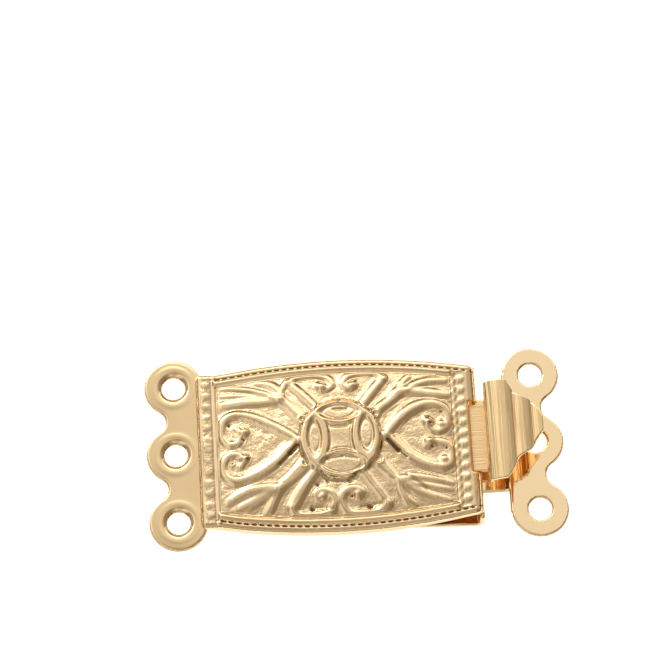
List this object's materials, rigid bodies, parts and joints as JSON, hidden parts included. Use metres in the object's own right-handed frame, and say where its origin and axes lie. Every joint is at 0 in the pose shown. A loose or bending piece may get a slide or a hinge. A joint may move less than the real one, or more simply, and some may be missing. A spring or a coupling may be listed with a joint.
{
  "type": "box clasp",
  "caption": "Stamped brass box clasp with an ornamented domed face, a folded spring tongue with ribbed thumb grip, and rows of strand rings at both ends",
  "frame": {"origin": "centre of the back plate's underside", "axes": "+X along the clasp from the box's rings to the tongue's rings, +Y across it, +Z out of the ornamented face"},
  "size_m": [0.0257, 0.0122, 0.0036],
  "materials": {
    "box": "bright pale gold plating on stamped sheet",
    "tongue": "satin pale gold plating, brushed on the neck"
  },
  "bodies": {
    "box": {"box_shell": "box"},
    "tongue": {"tongue_base": "tongue"},
    "lever": {"tongue_spring": "tongue", "thumb_grip": "tongue"}
  },
  "joints": [
    {"name": "draw", "type": "slide", "parent": "box", "child": "tongue", "axis": [1, 0, 0], "range_m": [0, 0.0135]},
    {"name": "press", "type": "hinge", "parent": "tongue", "child": "lever", "pos_m": [-0.00441, 0, 0.00108], "axis": [0, 1, 0], "range_deg": [0, 3], "stiffness_Nm_per_rad": 0.3, "deforming": ["tongue_spring"]}
  ]
}
